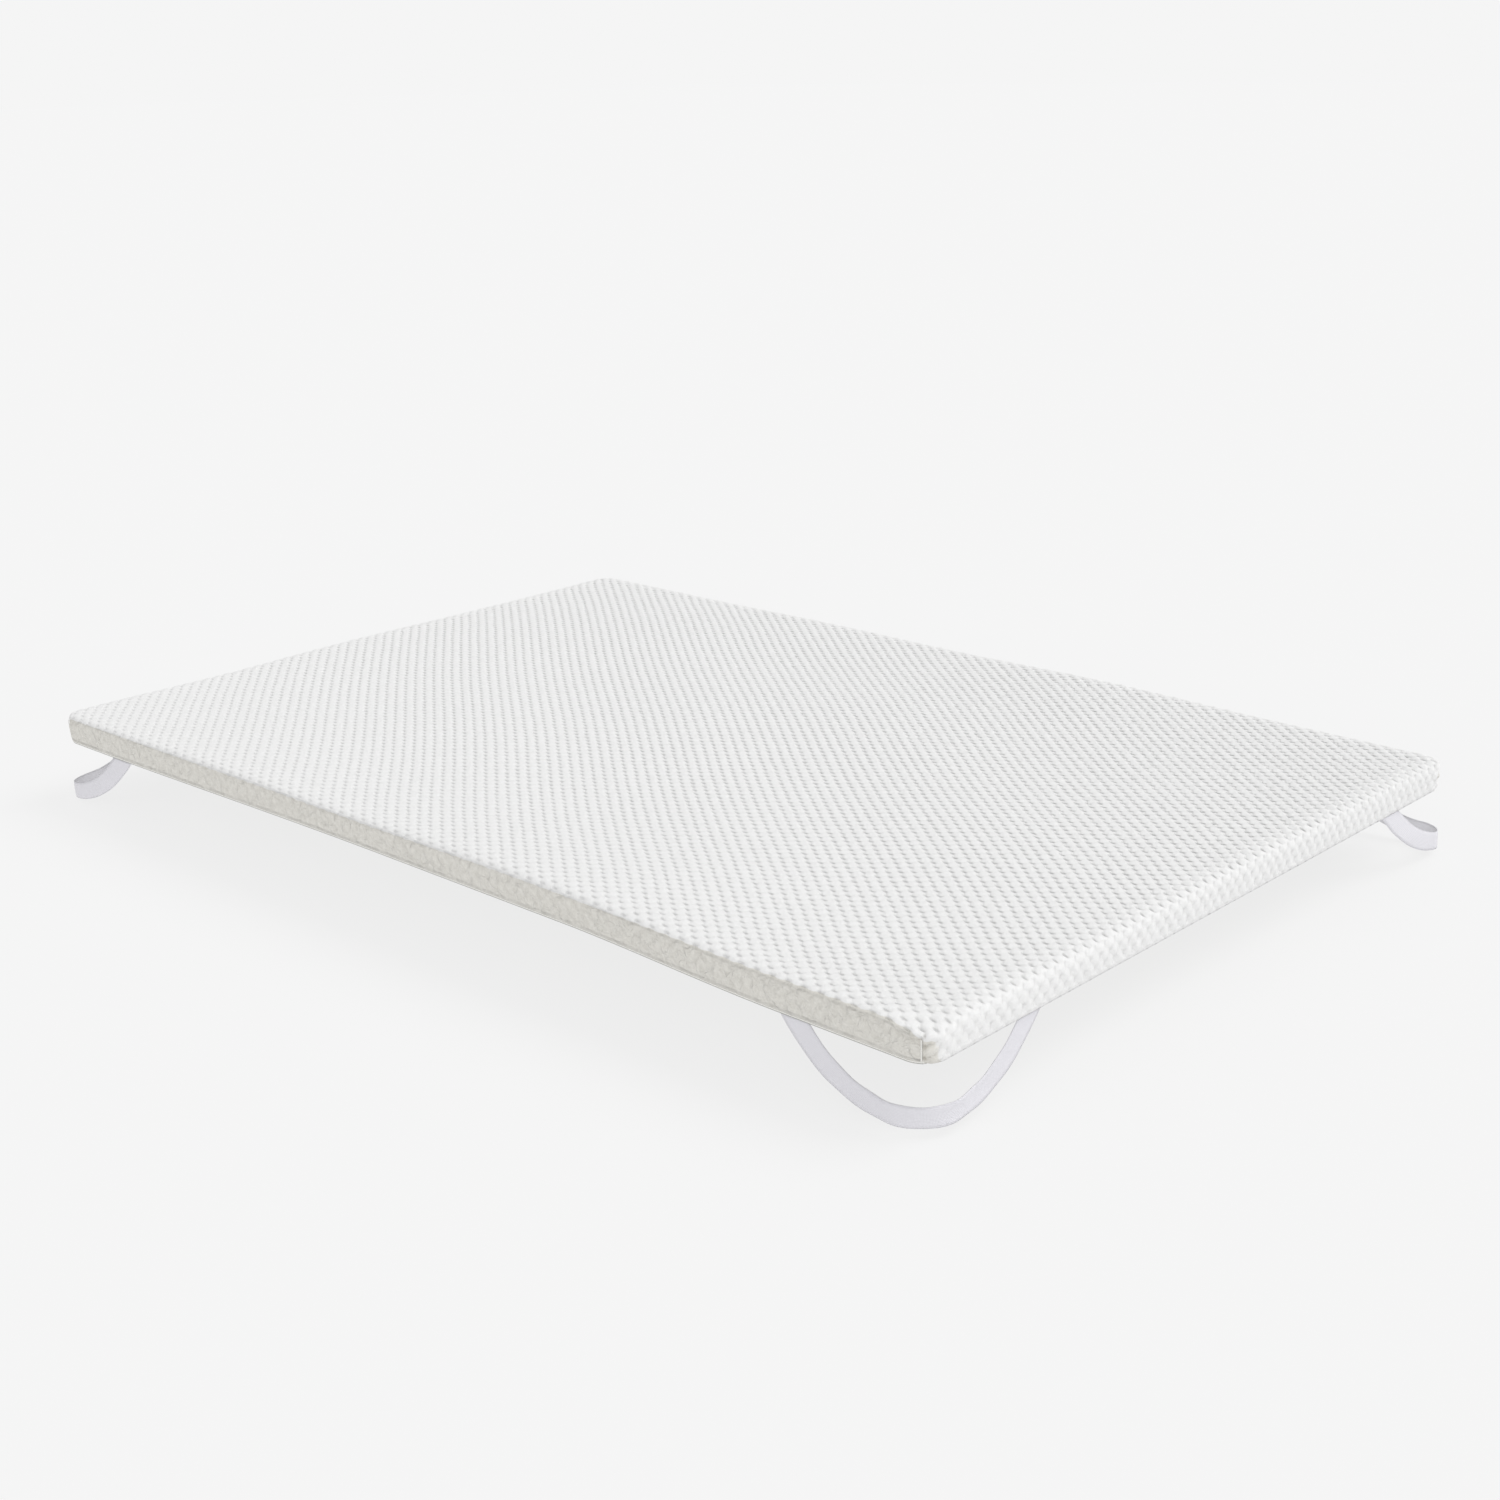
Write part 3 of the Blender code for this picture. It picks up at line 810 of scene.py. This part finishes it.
def base_panel(finish):
    """The plain cloth under the slab, one thin sheet with a small lip at the foot of the sides."""
    rows = []
    for inset, radius in (*INNER_RINGS[::-1], PANEL_RING, (-PANEL_OUT, CORNER_RADIUS + PANEL_OUT)):
        x, y = outline(inset, radius, False)
        y = y - np.sign(y) * RIM_IN * on_short_side(y)
        rows.append(np.stack([x, y, foot_rise(x, y)], 1))
    count = len(rows[0])
    vertices = np.concatenate(rows + [np.zeros((1, 3))])
    faces = []
    for start in range(0, count * (len(rows) - 1), count):
        for i in range(count):
            j = (i + 1) % count
            faces.append((start + i, start + j, start + count + j, start + count + i))
    faces += [(len(vertices) - 1, (i + 1) % count, i) for i in range(count)]
    mesh = bpy.data.meshes.new("base_cloth_panel")
    mesh.from_pydata(vertices.tolist(), [], faces)
    face_outwards(mesh, face_down=True)
    return cloth_sheet("base_cloth_panel", mesh, finish, PANEL_THICKNESS, offset=-1.0, sharp=40)


def round_corner(along, long_reach, radius):
    """A plan point and its outward direction on a corner, at a length along from the long side."""
    straight = long_reach - radius
    arc = radius * math.pi / 2
    if along < straight:
        return (0.0, long_reach - along), (-1.0, 0.0)
    if along < straight + arc:
        angle = (along - straight) / radius
        toward = (-math.cos(angle), -math.sin(angle))
        return (radius * (1 + toward[0]), radius * (1 + toward[1])), toward
    return (radius + along - straight - arc, 0.0), (0.0, -1.0)


def loop_edge(loop, edge):
    """The points of a loop's upper or lower edge, from the long side round to the short side."""
    long_reach, short_reach, radius = loop["long_" + edge], loop["short_" + edge], loop["radius"]
    whole = long_reach + short_reach - 2 * radius + radius * math.pi / 2
    points = []
    for step in range(BAND_STEPS + 1):
        part = step / BAND_STEPS
        (across, along), (out_x, out_y) = round_corner(part * whole, long_reach, radius)
        stand = BAND_SEAT + (loop["out"] - BAND_SEAT) * math.sin(math.pi * part)
        sag = loop["sag_" + edge] * (1.0 - abs(2 * part - 1) ** loop["flatness"])
        x = loop["side_x"] * (WIDTH / 2 - across - stand * out_x)
        y = loop["side_y"] * (LENGTH / 2 - along - stand * out_y)
        points.append((x, y, -SEWN_GAP - sag))
    return np.array(points)


def elastic_loop(loop, finish):
    """One woven elastic band, caught in the seam at both ends, with a little life along its edges."""
    upper, lower = loop_edge(loop, "upper"), loop_edge(loop, "lower")
    middle = (upper + lower) / 2
    face = np.cross(np.gradient(middle, axis=0), lower - upper)
    face /= np.linalg.norm(face, axis=1)[:, None]
    share = np.linspace(0, 1, BAND_ROWS + 1)[:, None, None]
    along = np.linspace(0, 1, BAND_STEPS + 1)[:, None]
    bow = BAND_BOW * np.sin(2 * np.pi * (along * BAND_BOWS + BAND_BOW_START * loop["side_x"]))
    cup = BAND_CUP * (1 - (2 * share - 1) ** 2)
    free = np.sin(np.pi * along) ** 0.5  # the sewn ends lie flat
    grid = upper + (lower - upper) * share + face * (bow * (2 * share - 1) + cup) * free
    faces = grid_faces(*grid.shape[:2])
    mesh = bpy.data.meshes.new("loop")
    mesh.from_pydata(grid.reshape(-1, 3).tolist(), [], faces.tolist())
    length = np.concatenate([[0], np.cumsum(np.linalg.norm(np.diff(middle, axis=0), axis=1))])
    places = np.stack(np.broadcast_arrays(share[:, :, 0] * BAND_WIDTH, length[None, :]), -1)
    lay_uv(mesh, "band", places.reshape(-1, 2)[faces.ravel()])
    return cloth_sheet("woven_elastic_" + loop["name"], mesh, finish, BAND_THICKNESS, offset=0.0, sharp=50)


# ---- Materials ----

def new_material(name, values):
    """A material with one shader, whose own sockets take the values."""
    made = bpy.data.materials.new(name)
    made.use_nodes = True
    tree = made.node_tree
    tree.nodes.clear()
    shader = add(tree, "ShaderNodeBsdfPrincipled", values)
    add(tree, "ShaderNodeOutputMaterial", {"Surface": shader})
    return made, tree, shader


def lay_cloth(tree, shader, relief, ground, layers):
    """Gives the shader its relief and its colour: a ground with shares of other colours over it."""
    bump = add(tree, "ShaderNodeBump", relief)
    tree.links.new(bump.outputs[0], shader.inputs["Normal"])
    colour = linear(ground)
    for share, layer in layers:
        mixed = add(tree, "ShaderNodeMix", {"Factor": share, 6: colour, 7: linear(layer)}, data_type="RGBA")
        colour = mixed.outputs[2]
    tree.links.new(colour, shader.inputs["Base Color"])


def jacquard_knit():
    """Double-knit polyester jacquard: matt, soft, with a faint fuzz, tied slits greyed by painted shade, and
    cream painted shade on the long sides.
    """
    made, tree, shader = new_material("white_polyester_jacquard_knit", {
        "Roughness": 0.92, "IOR": 1.45, "Specular IOR Level": 0.25, "Sheen Weight": 0.10,
        "Sheen Roughness": 0.5,
    })
    cells = add(tree, "ShaderNodeUVMap", uv_map="lattice")
    lift, tied, gather, loose, cream = (
        add(tree, "ShaderNodeAttribute", attribute_name=name).outputs["Fac"] for name in KNIT_VALUES
    )
    dome, petal, across, along = puff_pattern(tree, cells)
    slit = slit_depth(tree, across, along, *SLIT_PAINTED_SHADE)
    for factor in (tied, lift):
        slit = add(tree, MATH, [slit, factor], "MULTIPLY")
    petal = add(tree, MATH, [petal, lift], "MULTIPLY")
    # knit loops are 1.3 mm wide on the real cloth, drawn at 2.4 mm so that they show
    wide, high = 2.4, 1.9
    millimetres = add(tree, VECTOR, [cells, (CELL_X * 1000, CELL_Y * 1000, 1.0)], "MULTIPLY")
    split = add(tree, SPLIT, [millimetres])
    wales = add(tree, MATH, [split.outputs[0], 2 * math.pi / wide], "MULTIPLY")
    wales = add(tree, MATH, [wales], "SINE")
    courses = add(tree, MATH, [split.outputs[1], 2 * math.pi / high, wales], "MULTIPLY_ADD")
    courses = add(tree, MATH, [courses], "SINE")
    loops = add(tree, MATH, [wales, courses], "MULTIPLY")
    # unevenness of four sizes, from 14 mm crumples of the loose cloth down to the fuzz
    crumple, mottle_and_shade, wrinkles, fuzz = (
        add(tree, NOISE, {"Vector": millimetres, **grain}) for grain in (
            {"Scale": 0.07, "Detail": 3.0, "Distortion": 0.8},
            {"Scale": 0.13, "Detail": 4.0, "Roughness": 0.65, "Distortion": 0.6},
            {"Scale": 0.16, "Detail": 2.0},
            {"Scale": 0.6, "Detail": 2.0},
        )
    )
    crumple = add(tree, MATH, [crumple, loose], "MULTIPLY")
    depth = add(tree, MATH, [slit, -1.6], "MULTIPLY")
    for pattern, height in ((petal, 1.1), (loops, 0.05), (wrinkles, 1.2), (fuzz, 0.5), (crumple, 4.5)):
        depth = add(tree, MATH, [pattern, height, depth], "MULTIPLY_ADD")
    # cream painted shade on the long sides, beginning in scallops between the last puffs of the top
    cream = add(tree, MATH, [dome, -0.15, cream], "MULTIPLY_ADD")
    cream = add(tree, RANGE, {"Value": cream, "From Min": 0.26, "From Max": 0.34})
    # mottled there, partly as random tone and partly as painted shade of the crumples, and darker in the
    # puffs' hollows with painted shade, so their outlines still show faintly on the flat cloth
    mottle_and_shade = add(tree, RANGE, {"Value": mottle_and_shade, "From Min": 0.35, "From Max": 0.65})
    hollow = add(tree, MATH, [dome, -0.45, 0.45], "MULTIPLY_ADD")
    mottle_and_shade = add(tree, MATH, [mottle_and_shade, hollow], "ADD")
    share = add(tree, RANGE, {"Value": cream, "To Min": 0.05, "To Max": 0.24})
    mottle_and_shade = add(tree, MATH, [mottle_and_shade, share], "MULTIPLY")
    # painted shade, a little brown, where it is gathered in at the corners, and grey painted shade down in
    # the slits
    # painted shade, brownish, deep in the gathers and under the rim beside the corner seams
    tuck = add(tree, RANGE, {"Value": gather, "From Min": -0.0008, "From Max": -0.0034, "To Max": 0.34})
    shade = add(tree, MATH, [slit, 0.46], "MULTIPLY")
    lay_cloth(tree, shader, {"Height": depth, "Strength": 1.0, "Distance": 0.001}, "#F0F0F0", (
        (cream, "#E7E5DF"), (mottle_and_shade, "#B4B0A6"), (tuck, "#7E7463"), (shade, "#949494"),
    ))
    return made


def base_cloth():
    """Plain-woven polyester: matt grey-white, darkened further with painted shade for the shaded lip at the
    foot, with a fine square weave.
    """
    made, tree, shader = new_material("plain_woven_base_cloth", {
        "Roughness": 0.85, "Specular IOR Level": 0.3,
    })
    place = add(tree, "ShaderNodeTexCoord").outputs["Object"]
    # threads 0.8 mm apart on the real cloth, drawn at 2 mm so that they show
    threads = [
        add(tree, "ShaderNodeTexWave", {"Vector": place, "Scale": 157.0}, bands_direction=axis).outputs["Fac"]
        for axis in ("X", "Y")
    ]
    weave = add(tree, MATH, threads, "MULTIPLY")
    uneven = add(tree, NOISE, {"Vector": place, "Scale": 22.0, "Detail": 4.0})
    lay_cloth(tree, shader, {"Height": weave, "Strength": 0.6, "Distance": 0.0004}, "#AFAFAB",
              ((uneven, "#BCBCB8"),))
    return made


def sewing_thread():
    """Spun polyester sewing thread: soft, off-white, with a little of the seam's shade between turns."""
    made, tree, shader = new_material("spun_polyester_thread", {
        "Roughness": 0.75, "Specular IOR Level": 0.3, "Sheen Weight": 0.1,
    })
    place = add(tree, "ShaderNodeTexCoord").outputs["Object"]
    # the plies turn once in 0.7 mm, drawn at 1.4 mm so that they show
    plies = add(tree, "ShaderNodeTexWave", {"Vector": place, "Scale": 225.0},
                bands_direction="DIAGONAL").outputs["Fac"]
    lay_cloth(tree, shader, {"Height": plies, "Strength": 0.5, "Distance": 0.0002}, "#EBEAE6",
              ((plies, "#F4F3EF"),))
    return made


def woven_elastic():
    """Woven elastic: cool white polyester over rubber threads, ribbed along its length."""
    made, tree, shader = new_material("woven_elastic_tape", {
        "Roughness": 0.6, "Specular IOR Level": 0.35, "Sheen Weight": 0.15,
    })
    split = add(tree, SPLIT, [add(tree, "ShaderNodeUVMap", uv_map="band")])
    # rubber threads lie 1.1 mm apart and the picks over them 0.7 mm, drawn at 2.2 mm and 1.8 mm
    waves = []
    for axis, apart in ((0, 0.0022), (1, 0.0018)):
        turn = add(tree, MATH, [split.outputs[axis], 2 * math.pi / apart], "MULTIPLY")
        waves.append(add(tree, MATH, [turn], "SINE"))
    ribs, picks = waves
    picks = add(tree, MATH, [picks, 0.5], "MULTIPLY")
    weave = add(tree, MATH, [ribs, picks], "ADD")
    shade = add(tree, RANGE, {"Value": weave, "From Min": -1.5, "From Max": 1.5})
    lay_cloth(tree, shader, {"Height": weave, "Strength": 0.5, "Distance": 0.0003}, "#DFDEE4",
              ((shade, "#EBEAEF"),))
    return made


def studio_floor():
    """Opal acrylic lit from below, so that it stays pale where the topper shades it."""
    return new_material("lit_opal_acrylic", {
        "Roughness": 0.95, "Specular IOR Level": 0.0, "Base Color": linear("#6C6C6C"),
        "Emission Color": linear("#FFFFFF"), "Emission Strength": 0.761,
    })[0]


# ---- Camera, light and floor ----

def camera():
    """The photograph's view: over the near corner, 18 degrees down."""
    lens = bpy.data.cameras.new("camera")
    lens.sensor_width = FRAME_WIDTH
    lens.lens = LENS
    lens.clip_end = 200.0
    made = link("camera", lens)
    yaw, pitch, roll = (math.radians(angle) for angle in VIEW_TURN)
    ahead = Vector((math.sin(yaw) * math.cos(pitch), math.cos(yaw) * math.cos(pitch), -math.sin(pitch)))
    right = Vector((math.cos(yaw), -math.sin(yaw), 0.0))
    up = right.cross(ahead)
    level_right = math.cos(roll) * right + math.sin(roll) * up
    level_up = -math.sin(roll) * right + math.cos(roll) * up
    turn = Matrix((level_right, level_up, -ahead)).transposed()
    made.matrix_world = Matrix.Translation(VIEW_FROM) @ turn.to_4x4()
    bpy.context.scene.camera = made


def studio():
    """A bright even room, a broad light from the right, a weaker one behind the camera, and the floor."""
    scene = bpy.context.scene
    scene.view_settings.view_transform = "Standard"
    world = bpy.data.worlds.new("room")
    world.use_nodes = True
    tree = world.node_tree
    tree.nodes.clear()
    room, wall = (
        add(tree, "ShaderNodeBackground", {"Color": (1.0, 1.0, 1.0, 1.0), "Strength": strength})
        for strength in (ROOM_LIGHT, WALL_LIGHT)
    )
    seen = add(tree, "ShaderNodeLightPath")
    mixed = add(tree, "ShaderNodeMixShader", [seen.outputs["Is Camera Ray"], room, wall])
    add(tree, "ShaderNodeOutputWorld", [mixed])
    scene.world = world
    for name, energy, toward in LIGHTS:
        light = bpy.data.lights.new(name, "SUN")
        light.energy = energy
        light.angle = math.radians(LIGHT_BREADTH)
        made = link(name, light)
        made.rotation_mode = "QUATERNION"
        made.rotation_quaternion = Vector(toward).to_track_quat("Z", "Y")
    bpy.ops.mesh.primitive_plane_add(size=FLOOR_SIZE, location=(0.0, 0.0, FLOOR_LEVEL))
    floor = bpy.context.object
    floor.name = "floor"
    floor.data.materials.append(studio_floor())


# ---- Assembly ----

camera()
studio()

cover = knit_cover(jacquard_knit())
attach(cover, "root")
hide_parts("knit_cover")

panel = base_panel(base_cloth())
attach(panel, "root")
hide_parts("base_panel")

elastic = woven_elastic()
for loop in LOOPS:
    band = elastic_loop(loop, elastic)
    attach(band, "root")
    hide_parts("elastic_loop_" + loop["name"])

thread = sewing_thread()
edging = foot_edging(thread)
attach(edging, "root")
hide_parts("seam_edging")

seams = corner_seams(thread)
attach(seams, "root")
